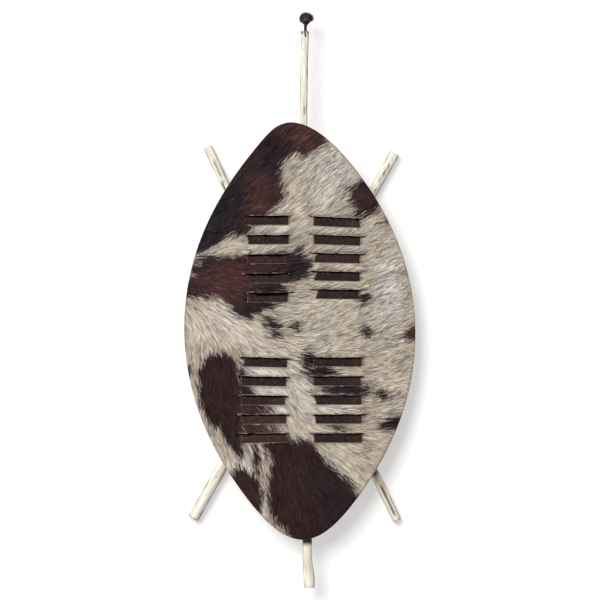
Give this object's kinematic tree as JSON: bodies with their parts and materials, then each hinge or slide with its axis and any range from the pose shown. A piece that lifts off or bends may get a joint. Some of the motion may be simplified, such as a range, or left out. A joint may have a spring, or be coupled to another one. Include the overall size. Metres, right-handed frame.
{
  "type": "hide shield",
  "caption": "Oval hair-on cowhide shield laced with dark hide strips, on a tufted central staff, with crossed sticks tied behind it.",
  "frame": {"origin": "on the floor, below the middle of the whole object, where the shield lies on the four ends of its crossed sticks", "axes": "+Z out of the shield's hair side, +Y along the staff towards the fur tuft, +X to the right of someone facing the shield"},
  "size_m": [0.3704, 0.922, 0.0561],
  "materials": {
    "cowhide": "hair-on, cream with dark brown patches",
    "dark_strip_hide": "satin",
    "peeled_wood": "bare",
    "rawhide": "matte",
    "dark_fur": "fur"
  },
  "bodies": {
    "root": {"cowhide": "cowhide", "lacing_strip_upper_left": "dark_strip_hide", "lacing_strip_upper_right": "dark_strip_hide", "lacing_strip_lower_left": "dark_strip_hide", "lacing_strip_lower_right": "dark_strip_hide", "staff": "peeled_wood", "crossed_stick_left": "peeled_wood", "crossed_stick_right": "peeled_wood", "crossing_lashing": "rawhide", "staff_loop_upper": "rawhide", "staff_loop_lower": "rawhide", "fur_tuft": "dark_fur"}
  },
  "joints": []
}
